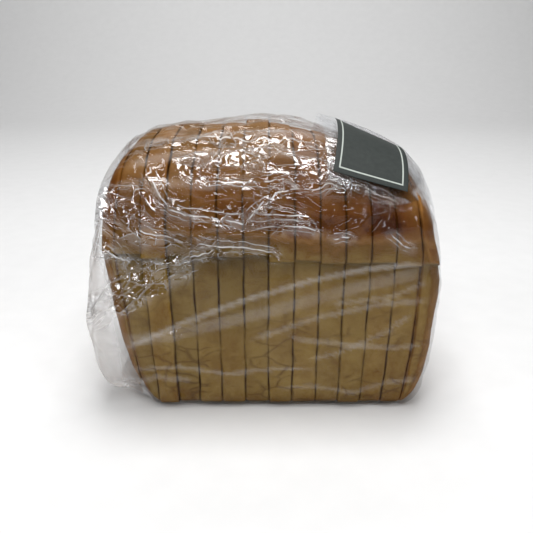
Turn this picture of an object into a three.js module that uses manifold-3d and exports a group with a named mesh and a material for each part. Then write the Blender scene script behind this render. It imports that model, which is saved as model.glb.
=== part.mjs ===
// A sliced tin loaf standing in a clear film bag. The bag is sealed flat at its left end and gathered
// at its right end, and its tail is turned up over the top and held there by a label.
// Millimetres, +Z up. X runs along the loaf, Y across it, and the origin is under the middle of the bag.
import * as THREE from "three";
import { mergeVertices } from "three/addons/utils/BufferGeometryUtils.js";
import Module from "manifold-3d";

const wasm = await Module();
wasm.setup();

// ---- Loaf ----
const SLICE_COUNT = 14; // a heel at each end and twelve slices between them
const SLICE_PITCH = 12.1; // thickness of a slice with its knife gap
const KNIFE_GAP = 0.4;
const FIRST_CUT = -72.6; // the left-most cut, at rim height
const RIM_HEIGHT = 84.5; // where the tin's rim was: the crust overhangs the side above it
const RIM_FALL = 0.04; // the rim line drops this much per millimetre towards the right
const HALF_BASE = 52; // half widths at the base, at the rim and at the fullest place above the rim
const HALF_RIM = 55.5;
const HALF_BULGE = 58;
const BULGE_HEIGHT = 100;
const TOP_HEIGHT = 139;
const BASE_CORNER = 6; // rounding of the long bottom edges
const DOME_POWER = 2.35; // exponent of the top's super-ellipse
const END_ROUNDING = 9;
const SLICE_STAGGER = 0.7; // how far slices stand out of line across the loaf

// How far the end crusts reach from the origin, as [height, reach]. The left one tapers in at the base.
const LEFT_END = [
  [0, 63], [8, 67], [15, 69.5], [24, 72], [36, 74.5], [58, 78], [84, 80.5], [112, 77.5], [125, 75], [139, 69],
];
const RIGHT_END = [
  [0, 75], [8, 78.5], [20, 81.3], [35, 83], [72, 84], [84, 82], [98, 78], [112, 75], [125, 71], [139, 65],
];

// ---- Film bag ----
const FILM_WALL = 0.6; // a stand-in wall for film of about 0.04
const FILM_SLACK = 1.5; // between the crust and the film, at the sides
const FLOOR_GAP = 0.35; // between the crust and the film, underneath
const BAG_ROUNDING = 12;
const BAG_LEFT_END = [
  [0, 68], [10, 77], [25, 84], [45, 88], [70, 88], [88, 85], [112, 81.5], [128, 78.5], [146, 73],
];
const BAG_RIGHT_END = [
  [0, 79], [12, 84], [28, 86.3], [45, 87], [72, 87], [88, 84.5], [114, 78.5], [128, 74.5], [146, 70],
];
const SLACK_OVER_TOP = 6; // the film stands this much higher where the tail is folded over the loaf
const NECK_RADIUS = 8; // the gathered neck, in the middle of the right end, and its open mouth
const NECK_END = 88;
const TAIL_ENDS_AT = 24; // the turned-up tail lies on the top from the right end to this X
const TAIL_GAP = 0.5;

// ---- Label ----
const LABEL_SIDE = [35, 49]; // along X and across, seen from above
const LABEL_CENTRE = [50.5, -28];
const LABEL_TURN = THREE.MathUtils.degToRad(-8);
const LABEL_THICKNESS = 0.5;
const LABEL_GAP = 0.45; // above the tail
const LABEL_LIFT = 1.6; // how far its near edge curls up

const SECTION_MIDDLE = 62; // the height that end rounding shrinks a section towards
const { lerp, smoothstep, clamp, degToRad } = THREE.MathUtils;

const materials = {
  crust: new THREE.MeshStandardMaterial({ color: 0x8a5a30, roughness: 0.62, metalness: 0 }),
  crumb: new THREE.MeshStandardMaterial({ color: 0xa88d5f, roughness: 0.85, metalness: 0 }),
  film: new THREE.MeshStandardMaterial({
    color: 0xe9e6e2,
    roughness: 0.08,
    metalness: 0,
    transparent: true,
    opacity: 0.3,
  }),
  label: new THREE.MeshStandardMaterial({ color: 0x37413f, roughness: 0.45, metalness: 0 }),
};

// Value of a [height, value] profile at a height.
function profile(points, height) {
  const next = points.findIndex(([z]) => z >= height);
  if (next < 0) return points.at(-1)[1];
  if (next === 0) return points[0][1];
  const [z0, v0] = points[next - 1];
  const [z1, v1] = points[next];
  return lerp(v0, v1, (height - z0) / (z1 - z0));
}

// Height of the top along the loaf: level over the middle, lower at the left end and lowest at the right.
function topHeight(x) {
  return TOP_HEIGHT - 16 * smoothstep(x, -5, 80) - 5 * smoothstep(-x, 40, 80);
}

// How far the film stands above the crust along the top.
function topSlack(x) {
  return SLACK_OVER_TOP * Math.exp(-(((x - 26) / 38) ** 2));
}

function rimHeight(x) {
  return RIM_HEIGHT - RIM_FALL * x;
}

const LOAF_BODY = {
  grow: 0,
  floor: FILM_WALL + FLOOR_GAP,
  lip: [0.45, 0.86],
  slack: () => 0,
  end: (side, z) => profile(side < 0 ? LEFT_END : RIGHT_END, z),
  rounding: END_ROUNDING,
};
const bagEnd = (side, z) => profile(side < 0 ? BAG_LEFT_END : BAG_RIGHT_END, z);
const BAG_INSIDE = {
  grow: FILM_SLACK,
  floor: FILM_WALL,
  lip: [0.3, 0.7],
  slack: topSlack,
  end: (side, z) => bagEnd(side, z) - FILM_WALL,
  rounding: BAG_ROUNDING,
};
const BAG_OUTSIDE = { ...BAG_INSIDE, grow: FILM_SLACK + FILM_WALL, floor: 0, end: bagEnd };

// Half of a cross-section at x, from the middle of the base, out and up to the middle of the top, as [y, z].
function halfSection(x, body) {
  const base = HALF_BASE + body.grow;
  const rim = HALF_RIM + body.grow;
  const bulge = HALF_BULGE + body.grow;
  const top = topHeight(x) + body.grow + body.slack(x);
  const rimZ = rimHeight(x);
  const points = [[0, body.floor]];
  for (const degrees of [0, 30, 60, 90]) {
    const a = degToRad(degrees);
    points.push([
      base - BASE_CORNER + BASE_CORNER * Math.sin(a),
      body.floor + BASE_CORNER - BASE_CORNER * Math.cos(a),
    ]);
  }
  for (const t of [0.3, 0.65, 1]) {
    points.push([lerp(base, rim, Math.sin((t * Math.PI) / 2)), lerp(body.floor + BASE_CORNER, rimZ, t)]);
  }
  points.push([lerp(rim, bulge, body.lip[0]), rimZ + 1.2 + body.grow * 0.2]);
  points.push([lerp(rim, bulge, body.lip[1]), rimZ + 5]);
  const domeSteps = 9;
  for (let i = 0; i <= domeSteps; i++) {
    const a = (i / domeSteps) * (Math.PI / 2);
    points.push([
      i === domeSteps ? 0 : bulge * Math.pow(Math.cos(a), 2 / DOME_POWER),
      BULGE_HEIGHT + (top - BULGE_HEIGHT) * Math.pow(Math.sin(a), 2 / DOME_POWER),
    ]);
  }
  return points;
}

// The whole cross-section at x, going round once.
function section(x, body) {
  const half = halfSection(x, body);
  const mirrored = half.slice(1, -1).reverse().map(([y, z]) => [-y, z]);
  return [...half, ...mirrored];
}

// A ring of the body near one end. turn runs from 0, on the end face, to 90 degrees, where the rounding
// meets the straight part, and reach is how much of the end face's own ring is kept, down to 0 in its middle.
function endRing(side, turn, reach, body) {
  const inset = body.rounding * (1 - Math.sin(turn));
  const back = body.rounding * (1 - Math.cos(turn));
  const outline = section(side * (body.end(side, SECTION_MIDDLE) - back), body);
  return outline.map(([y, z]) => {
    const scaleY = (1 - inset / HALF_BULGE) * reach;
    const scaleZ = (1 - inset / SECTION_MIDDLE) * reach;
    const height = SECTION_MIDDLE + (z - SECTION_MIDDLE) * scaleZ;
    return new THREE.Vector3(side * (body.end(side, height) - back), y * scaleY, height);
  });
}

// All rings of a body from its left end to its right end.
function bodyRings(body, straight) {
  const turns = [0, 30, 60, 90].map(degToRad);
  const disc = [0.3, 0.7];
  const endRings = (side) => [
    ...disc.map((reach) => endRing(side, 0, reach, body)),
    ...turns.map((turn) => endRing(side, turn, 1, body)),
  ];
  const middle = straight.map((x) => section(x, body).map(([y, z]) => new THREE.Vector3(x, y, z)));
  return [...endRings(-1), ...middle, ...endRings(1).reverse()];
}

// A closed mesh over rings of equal length, with a point in the middle of each end.
function loft(rings) {
  const count = rings[0].length;
  const middleOf = (ring) => ring.reduce((sum, p) => sum.add(p), new THREE.Vector3()).divideScalar(count);
  const points = [...rings.flat(), middleOf(rings[0]), middleOf(rings.at(-1))];
  const index = [];
  for (let r = 0; r + 1 < rings.length; r++) {
    for (let i = 0; i < count; i++) {
      const a = r * count + i;
      const b = r * count + ((i + 1) % count);
      index.push(a, b, b + count, a, b + count, a + count);
    }
  }
  const first = rings.length * count;
  const last = (rings.length - 1) * count;
  for (let i = 0; i < count; i++) {
    const next = (i + 1) % count;
    index.push(first, next, i);
    index.push(first + 1, last + i, last + next);
  }
  return geometryOf(points, index);
}

function geometryOf(points, index) {
  const geometry = new THREE.BufferGeometry().setFromPoints(points);
  geometry.setIndex(index);
  return geometry;
}

// A closed slab between two grids of points of the same size, lower and upper.
function slab(lower, upper) {
  const rows = lower.length;
  const columns = lower[0].length;
  const at = (layer, r, c) => layer * rows * columns + r * columns + c;
  const index = [];
  for (let r = 0; r + 1 < rows; r++) {
    for (let c = 0; c + 1 < columns; c++) {
      index.push(at(1, r, c), at(1, r + 1, c), at(1, r + 1, c + 1));
      index.push(at(1, r, c), at(1, r + 1, c + 1), at(1, r, c + 1));
      index.push(at(0, r, c), at(0, r + 1, c + 1), at(0, r + 1, c));
      index.push(at(0, r, c), at(0, r, c + 1), at(0, r + 1, c + 1));
    }
  }
  const rim = [];
  for (let c = 0; c < columns; c++) rim.push([0, c]);
  for (let r = 1; r < rows; r++) rim.push([r, columns - 1]);
  for (let c = columns - 2; c >= 0; c--) rim.push([rows - 1, c]);
  for (let r = rows - 2; r > 0; r--) rim.push([r, 0]);
  rim.forEach(([r, c], i) => {
    const [nr, nc] = rim[(i + 1) % rim.length];
    index.push(at(0, r, c), at(1, r, c), at(1, nr, nc));
    index.push(at(0, r, c), at(1, nr, nc), at(0, nr, nc));
  });
  return geometryOf([...lower.flat(), ...upper.flat()], index);
}

// three.js geometry to a manifold-3d solid with outward faces, and back.
function toSolid(geometry) {
  const bare = new THREE.BufferGeometry().setAttribute("position", geometry.getAttribute("position"));
  bare.setIndex(geometry.index);
  const merged = mergeVertices(bare, 1e-4);
  const triVerts = new Uint32Array(merged.index.array);
  const build = () =>
    new wasm.Manifold(
      new wasm.Mesh({ numProp: 3, vertProperties: merged.attributes.position.array, triVerts }),
    );
  const solid = build();
  if (solid.volume() > 0) return solid;
  for (let i = 0; i < triVerts.length; i += 3) {
    [triVerts[i + 1], triVerts[i + 2]] = [triVerts[i + 2], triVerts[i + 1]];
  }
  return build();
}

function toGeometry(solid) {
  const mesh = solid.getMesh();
  const geometry = new THREE.BufferGeometry();
  geometry.setAttribute("position", new THREE.BufferAttribute(mesh.vertProperties, 3));
  geometry.setIndex(new THREE.BufferAttribute(mesh.triVerts, 1));
  return geometry;
}

// ---- Slices ----

// X of a knife cut at a height. The slices near the ends follow the end crusts, bowing in at top and base.
function cutX(i, z) {
  const t = (i - 7) / 6;
  const [base, top] = t < 0 ? [7, 4.6] : [-4, -7];
  const baseBow = base * t ** 4 * Math.pow(1 - clamp(z / RIM_HEIGHT, 0, 1), t < 0 ? 1 : 3);
  const topBow = top * t ** 2 * smoothstep(z, 80, TOP_HEIGHT);
  return FIRST_CUT + SLICE_PITCH * (i - 1) + baseBow + topBow;
}

// The space between cuts i and i + 1, reaching far out beyond an end where there is no cut.
function spaceOfSlice(i) {
  const far = 140;
  const rings = [-10, 0, 15, 35, 60, RIM_HEIGHT, 105, 122, 160].map((z) => {
    const left = i > 0 ? cutX(i, z) + KNIFE_GAP / 2 : -far;
    const right = i < SLICE_COUNT - 1 ? cutX(i + 1, z) - KNIFE_GAP / 2 : far;
    return [
      new THREE.Vector3(left, -far, z),
      new THREE.Vector3(right, -far, z),
      new THREE.Vector3(right, far, z),
      new THREE.Vector3(left, far, z),
    ];
  });
  return toSolid(loft(rings));
}

function makeSlices() {
  const loaf = toSolid(loft(bodyRings(LOAF_BODY, [-50, -26, 0, 22, 44, 58])));
  const meshes = [];
  for (let i = 0; i < SLICE_COUNT; i++) {
    const geometry = toGeometry(loaf.intersect(spaceOfSlice(i)));
    const isHeel = i === 0 || i === SLICE_COUNT - 1;
    const mesh = new THREE.Mesh(geometry, isHeel ? materials.crust : materials.crumb);
    mesh.name = isHeel ? (i === 0 ? "heel_left" : "heel_right") : `slice_${String(i).padStart(2, "0")}`;
    mesh.position.y = SLICE_STAGGER * Math.sin(2.3 * i + 0.6);
    meshes.push(mesh);
  }
  return meshes;
}

// ---- Film bag ----

// Height of the bag's outside over (x, y), on the dome.
function bagTop(x, y) {
  const bulge = HALF_BULGE + BAG_OUTSIDE.grow;
  const top = topHeight(x) + BAG_OUTSIDE.grow + BAG_OUTSIDE.slack(x);
  const across = Math.pow(1 - Math.pow(Math.min(1, Math.abs(y) / bulge), DOME_POWER), 1 / DOME_POWER);
  return BULGE_HEIGHT + (top - BULGE_HEIGHT) * across;
}

// The tail spreads from the neck, up the end face and over its rounding, and lies along the top.
// Its columns are the section's own columns over the dome.
function tailGrid(gap) {
  const middle = section(0, BAG_OUTSIDE).length / 2;
  const spread = 6;
  const raised = (ring, amount) =>
    ring.slice(middle - spread, middle + spread + 1).map((p) => {
      const outwards = new THREE.Vector3(clamp((p.x - 62) / 16, 0, 1), 0, smoothstep(p.z, 98, 116));
      return p.clone().addScaledVector(outwards.normalize(), amount);
    });
  const rows = [];
  rows.push(raised(endRing(1, 0, 0.12, BAG_OUTSIDE), gap - TAIL_GAP - FILM_WALL / 2));
  for (const reach of [0.24, 0.5, 0.8]) rows.push(raised(endRing(1, 0, reach, BAG_OUTSIDE), gap));
  for (const degrees of [0, 22, 45, 68, 90]) {
    rows.push(raised(endRing(1, degToRad(degrees), 1, BAG_OUTSIDE), gap));
  }
  for (const x of [58, 50, 42, 33, TAIL_ENDS_AT]) {
    rows.push(raised(section(x, BAG_OUTSIDE).map(([y, z]) => new THREE.Vector3(x, y, z)), gap));
  }
  return rows;
}

// A short cylinder along X through the right end, at the neck.
function neckCylinder(radius, from, to) {
  const cylinder = new THREE.CylinderGeometry(radius, radius, to - from, 20);
  cylinder.rotateZ(Math.PI / 2);
  cylinder.translate((from + to) / 2, 0, SECTION_MIDDLE - NECK_RADIUS);
  return toSolid(cylinder);
}

function makeBag() {
  const stations = [-56, -30, -8, 10, 26, 42, 54];
  const outside = toSolid(loft(bodyRings(BAG_OUTSIDE, stations)));
  const inside = toSolid(loft(bodyRings(BAG_INSIDE, stations)));
  const neck = neckCylinder(NECK_RADIUS, 84, NECK_END).subtract(inside);
  const mouth = neckCylinder(NECK_RADIUS - FILM_WALL, 80, NECK_END + 10);
  const tail = toSolid(slab(tailGrid(TAIL_GAP), tailGrid(TAIL_GAP + FILM_WALL)));
  const shell = outside.subtract(inside).add(neck).subtract(mouth).add(tail);
  const mesh = new THREE.Mesh(toGeometry(shell), materials.film);
  mesh.name = "film_bag";
  return mesh;
}

// ---- Label ----

// A stiff oblong sticker that bends with the top and curls up a little along its near edge.
function makeLabel() {
  const steps = 6;
  const clearance = TAIL_GAP + FILM_WALL + LABEL_GAP;
  const grid = (extra) => {
    const rows = [];
    for (let r = 0; r <= steps; r++) {
      const row = [];
      for (let c = 0; c <= steps; c++) {
        const u = (r / steps - 0.5) * LABEL_SIDE[0];
        const v = (c / steps - 0.5) * LABEL_SIDE[1];
        const x = LABEL_CENTRE[0] + u * Math.cos(LABEL_TURN) - v * Math.sin(LABEL_TURN);
        const y = LABEL_CENTRE[1] + u * Math.sin(LABEL_TURN) + v * Math.cos(LABEL_TURN);
        const curl = LABEL_LIFT * Math.pow(1 - c / steps, 2);
        row.push(new THREE.Vector3(x, y, bagTop(x, y) + clearance + curl + extra));
      }
      rows.push(row);
    }
    return rows;
  };
  const mesh = new THREE.Mesh(toGeometry(toSolid(slab(grid(0), grid(LABEL_THICKNESS)))), materials.label);
  mesh.name = "label";
  return mesh;
}

const tinLoaf = new THREE.Group();
tinLoaf.add(...makeSlices(), makeBag(), makeLabel());

export default tinLoaf;
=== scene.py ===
"""A sliced tin loaf in a clear film bag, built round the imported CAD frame. Lengths are in millimetres
until a mesh is made, and every object is in metres in the frame's own coordinates."""
import math

import bpy
import numpy as np
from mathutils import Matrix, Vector
from mathutils.bvhtree import BVHTree


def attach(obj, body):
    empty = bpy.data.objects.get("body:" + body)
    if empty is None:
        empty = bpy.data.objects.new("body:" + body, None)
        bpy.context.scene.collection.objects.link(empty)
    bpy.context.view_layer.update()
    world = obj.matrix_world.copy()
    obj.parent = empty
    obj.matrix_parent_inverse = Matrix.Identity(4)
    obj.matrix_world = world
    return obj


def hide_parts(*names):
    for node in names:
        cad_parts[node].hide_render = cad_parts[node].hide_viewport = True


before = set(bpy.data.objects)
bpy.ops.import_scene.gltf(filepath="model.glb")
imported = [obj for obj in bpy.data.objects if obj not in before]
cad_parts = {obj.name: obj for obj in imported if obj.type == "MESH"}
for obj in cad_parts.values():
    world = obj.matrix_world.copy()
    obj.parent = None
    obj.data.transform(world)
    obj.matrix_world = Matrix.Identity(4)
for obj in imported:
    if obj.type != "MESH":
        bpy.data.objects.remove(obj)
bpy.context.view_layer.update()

MM = 0.001
norm = np.linalg.norm
rng = np.random.default_rng(11)

# ---- loaf dimensions
SLICES = 14
PITCH = 12.1
FIRST_CUT = -72.6
RIM = 84.5
RIM_FALL = 0.04
HALF_BASE, HALF_RIM, HALF_BULGE = 52.0, 55.5, 58.0
BULGE_Z, TOP_Z = 100.0, 139.0
CORNER = 6.0
DOME = 2.35
FLOOR_Z = 0.95
MIDDLE = 62.0
LEFT_END = np.array([(0, 63), (8, 67), (15, 69.5), (24, 72), (36, 74.5), (58, 78), (84, 80.5),
                     (112, 77.5), (125, 75), (139, 69)], float)
RIGHT_END = np.array([(0, 75), (8, 78.5), (20, 81.3), (35, 83), (72, 84), (84, 82), (98, 78),
                      (112, 75), (125, 71), (139, 65)], float)


def smooth(x, lo, hi):
    t = np.clip((np.asarray(x, float) - lo) / (hi - lo), 0, 1)
    return t * t * (3 - 2 * t)


def fade(x, lo, hi):
    return 1 - smooth(x, lo, hi)


def run_along(points):
    return np.concatenate([[0], np.cumsum(norm(np.diff(points, axis=0), axis=1))])


def loaf_end(side, z):
    return np.interp(z, *(LEFT_END if side < 0 else RIGHT_END).T)


def top_height(x):
    return TOP_Z - 16 * smooth(x, -5, 80) - 5 * smooth(-np.asarray(x), 40, 80)


# ---- noise
_perm = rng.permutation(512)
_grad = rng.normal(size=(512, 3))
_grad /= norm(_grad, axis=1)[:, None]
CORNERS = [(dx, dy, dz) for dx in (0, 1) for dy in (0, 1) for dz in (0, 1)]


def noise(p, scale):
    """Gradient noise in about -1 to 1 at points p, an (..., 3) array, with features of that scale."""
    q = np.asarray(p, float) / scale
    cell = np.floor(q).astype(int)
    f = q - cell
    w = f * f * f * (f * (f * 6 - 15) + 10)
    total = 0.0
    for dx, dy, dz in CORNERS:
        h = _perm[(_perm[(_perm[(cell[..., 0] + dx) & 511] + cell[..., 1] + dy) & 511]
                   + cell[..., 2] + dz) & 511]
        d = f - np.array([dx, dy, dz])
        wx = w[..., 0] if dx else 1 - w[..., 0]
        wy = w[..., 1] if dy else 1 - w[..., 1]
        wz = w[..., 2] if dz else 1 - w[..., 2]
        total = total + wx * wy * wz * np.sum(_grad[h] * d, axis=-1)
    return total * 1.6


def cut_x(i, y, z):
    """X of knife cut i (1 to 13) at a place on the section."""
    t = (i - 7) / 6
    base, top = (7, 4.6) if t < 0 else (-4, -7)
    low = np.power(1 - np.clip(z / RIM, 0, 1), 1 if t < 0 else 3)
    wobble = noise(np.stack([np.full_like(z, 40.0 * i), y, z], -1), 17)
    return (FIRST_CUT + PITCH * (i - 1) + base * t ** 4 * low
            + top * t ** 2 * smooth(z, 80, TOP_Z) + 0.55 * wobble)


# ---- the loaf's surface
def half_stations():
    """Parameters along half a section: stretches of base, corner, side, lip, shred and dome."""
    parts = (("base", 12), ("corner", 6), ("side", 26), ("lip", 9), ("shred", 8))
    rows = [(part, t) for part, count in parts for t in np.linspace(0, 1, count, endpoint=False)]
    return rows + [("dome", t) for t in np.linspace(0, 1, 40)]


STATIONS = half_stations()
SIDE_TOP = HALF_RIM - 0.5
LIP_RISE = 1.6


def section(rim_z, top_z, lip_out=2.6, under=1.0):
    """(y, z) round a whole section, from the middle of the base. lip_out is how far the crust's lip stands
    out over the side, and under how far the side is drawn in below it."""
    y, z = np.zeros(len(STATIONS)), np.zeros(len(STATIONS))
    for k, (part, t) in enumerate(STATIONS):
        if part == "base":
            y[k], z[k] = t * (HALF_BASE - CORNER), FLOOR_Z
        elif part == "corner":
            a = t * math.pi / 2
            y[k] = HALF_BASE - CORNER + CORNER * math.sin(a)
            z[k] = FLOOR_Z + CORNER - CORNER * math.cos(a)
        elif part == "side":
            y[k] = HALF_BASE + (SIDE_TOP - HALF_BASE) * math.sin(t * math.pi / 2)
            z[k] = FLOOR_Z + CORNER + t * (rim_z - FLOOR_Z - CORNER)
            y[k] -= under * math.exp(-((rim_z - z[k]) / 5.0) ** 2)
        elif part == "lip":
            a = t * math.pi
            y[k] = SIDE_TOP - under * (1 - t) + lip_out * (1 - math.cos(a)) / 2
            z[k] = rim_z + LIP_RISE * t - 0.9 * math.sin(a)
        elif part == "shred":
            y[k] = SIDE_TOP + lip_out + (HALF_BULGE - HALF_RIM + 0.5 - lip_out) * math.sin(t * math.pi / 2)
            z[k] = rim_z + LIP_RISE + t * (BULGE_Z - rim_z - LIP_RISE)
        else:
            a = t * math.pi / 2
            y[k] = HALF_BULGE * max(0.0, math.cos(a)) ** (2 / DOME)
            z[k] = BULGE_Z + (top_z - BULGE_Z) * math.sin(a) ** (2 / DOME)
    y[-1] = 0
    return np.concatenate([y, -y[-2:0:-1]]), np.concatenate([z, z[-2:0:-1]])


# How each slice stands: its sideways shift, the change of its top and of its rim line, how much lighter or
# darker it is baked, and how much darker its side is.
slice_rng = np.random.default_rng(5)
SHIFT = 0.55 * np.sin(2.3 * np.arange(SLICES) + 0.6)
SHIFT[2] -= 0.7
TOP_STEP = slice_rng.uniform(-0.5, 0.5, SLICES)
TOP_STEP[6] += 2.0
TOP_STEP[7] += 1.2
TOP_STEP[8] += 0.4
RIM_STEP = slice_rng.uniform(-0.9, 0.9, SLICES)
RIM_STEP[4:7] += (0.7, 1.7, 1.9)
RIM_STEP[7:9] -= 0.4
RIM_STEP[2] -= 0.9
TONE = slice_rng.uniform(-0.06, 0.06, SLICES)
SHADE = np.zeros(SLICES)
SHADE[3:7] = (0.10, 0.20, 0.26, 0.12)
SHADE[[0, 8, 11]] = (-0.06, 0.05, 0.06)
END_ROUND = 9.0


def loaf_ring(i, t, reach=1.0):
    """One ring of slice i. t runs from its left face to its right, and on a heel from the end crust's
    rim to the cut. reach draws the ring in towards the middle, for the faces."""
    x_mid = FIRST_CUT + PITCH * (i - 0.5)
    rim_z = RIM - RIM_FALL * x_mid + RIM_STEP[i]
    top_z = top_height(x_mid) + TOP_STEP[i]
    y, z = section(rim_z, top_z)
    gap = 0.08 + 0.05 * math.sin(5.1 * i)
    left = cut_x(i, y, z) + gap if i > 0 else -loaf_end(-1, z)
    right = cut_x(i + 1, y, z) - gap if i < SLICES - 1 else loaf_end(1, z)
    x = left + (right - left) * t
    # The top and the rim line run on along the loaf inside a slice too.
    z = z + smooth(z, BULGE_Z - 12, TOP_Z) * (top_height(x) - top_height(x_mid))
    z = z - smooth(z, RIM - 30, RIM) * RIM_FALL * (x - x_mid) * fade(z, RIM + 8, RIM + 30)
    z = z + 0.8 * smooth(z, RIM - 26, RIM) * fade(z, RIM + 8, RIM + 30) * noise(
        np.stack([x, 4.0 * np.sign(y) + 0 * x, 31.0 * i + 0 * x], 1), 7)
    # Rounding towards the loaf's ends.
    inset = np.zeros_like(x)
    for s in (-1, 1):
        past = np.clip((s * x - (loaf_end(s, z) - END_ROUND)) / END_ROUND, 0, 1)
        inset = np.maximum(inset, END_ROUND * (1 - np.sqrt(np.clip(1 - past ** 2, 0, 1))))
    inset = np.minimum(inset, END_ROUND * 0.92)
    # The crust's edges are a little soft where the knife went through.
    edge = min(t, 1 - t) if 0 < i < SLICES - 1 else (1 - t if i == 0 else t)
    soft = 0.5 * (1 - min(1, edge / 0.09)) ** 2
    scale_y = (1 - (inset + soft) / HALF_BULGE) * reach
    scale_z = (1 - (inset + soft) / MIDDLE) * reach
    y = y * scale_y + SHIFT[i]
    z = np.maximum(MIDDLE + (z - MIDDLE) * scale_z, FLOOR_Z * (reach > 0.99))
    # A heel's outer end follows the end's outline at the height each point has come to.
    if i == 0:
        x = x + (1 - t) * (-loaf_end(-1, z) - left)
    elif i == SLICES - 1:
        x = x + t * (loaf_end(1, z) - right)
    return np.stack([x, y, z], 1)


def roughen(p, normal_out, amount):
    """Moves surface points in and out along normal_out by noise of three sizes."""
    bumps = 0.55 * noise(p, 26) + 0.28 * noise(p + 90, 9.5) + 0.12 * noise(p + 40, 3.6)
    return p + normal_out * (bumps * amount)[:, None]


def new_object(name, data):
    obj = bpy.data.objects.new(name, data)
    bpy.context.scene.collection.objects.link(obj)
    return obj


def make_mesh(name, verts, faces, materials, face_material=None):
    mesh = bpy.data.meshes.new(name)
    mesh.from_pydata((np.asarray(verts) * MM).tolist(), [], faces)
    for m in materials:
        mesh.materials.append(m)
    if face_material is not None:
        mesh.polygons.foreach_set("material_index", np.asarray(face_material, np.int32))
    mesh.polygons.foreach_set("use_smooth", np.full(len(faces), True))
    mesh.update()
    return new_object(name, mesh)


def point_attribute(obj, name, values):
    layer = obj.data.attributes.new(name, "FLOAT", "POINT")
    layer.data.foreach_set("value", np.asarray(values, np.float32))


def baked(i, p, normal):
    """How far the crust is baked, 0 pale to 1 dark, for points of slice i with their outward normals."""
    x, y, z = p.T
    rim_z = RIM - RIM_FALL * x + RIM_STEP[i]
    over = z - rim_z
    blotch = 0.5 * noise(p + 300, 22) + 0.3 * noise(p + 500, 7)
    wave = np.stack([x * 0.5, y, z * 1.6], 1)
    streak = np.clip(noise(wave + 900, 7) - 0.25, 0, 1) * fade(z, 20, 62)
    side = 0.09 + 0.13 * blotch + 0.18 * fade(z, 0, 13) + 0.20 * streak
    edge = over + 3.0 * noise(p + 700, 11) + 1.5 * noise(p + 800, 3.5)
    shred = 0.12 + 0.22 * smooth(edge, 0, 9)
    dark = 0.66 + 0.2 * smooth(x, -50, 55) - 0.22 * smooth(z, 118, 138) + 0.10 * blotch
    dark += 0.10 * smooth(x, -30, 20) * np.exp(-((z - 103) / 7) ** 2)
    dark -= 0.32 * smooth(x, 56, 72)
    level = np.where(over < 0.3, side, shred + (dark - shred) * smooth(edge, 8.5, 17))
    ends = smooth(np.abs(normal[:, 0]), 0.15, 0.6) * (np.abs(x) > 62)
    level = level + ends * np.where(over < 8, 0.36, 0.1)
    return np.clip(level + TONE[i] * (0.4 + 0.6 * (over > 4)), 0, 1)


# The rings of a slice's face, as shares of its outline, and how dark each is at a knife cut: painted shade
# in the gap between slices.
CAP_REACH = [0.985, 0.955, 0.90, 0.80, 0.64, 0.42, 0.2, 0.06]
CAP_GAP_SHADE = [1.0, 0.9, 0.1, 0, 0, 0, 0, 0]
CRUST, CRUMB = 0, 1
EDGE_SHARE = 0.06


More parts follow.
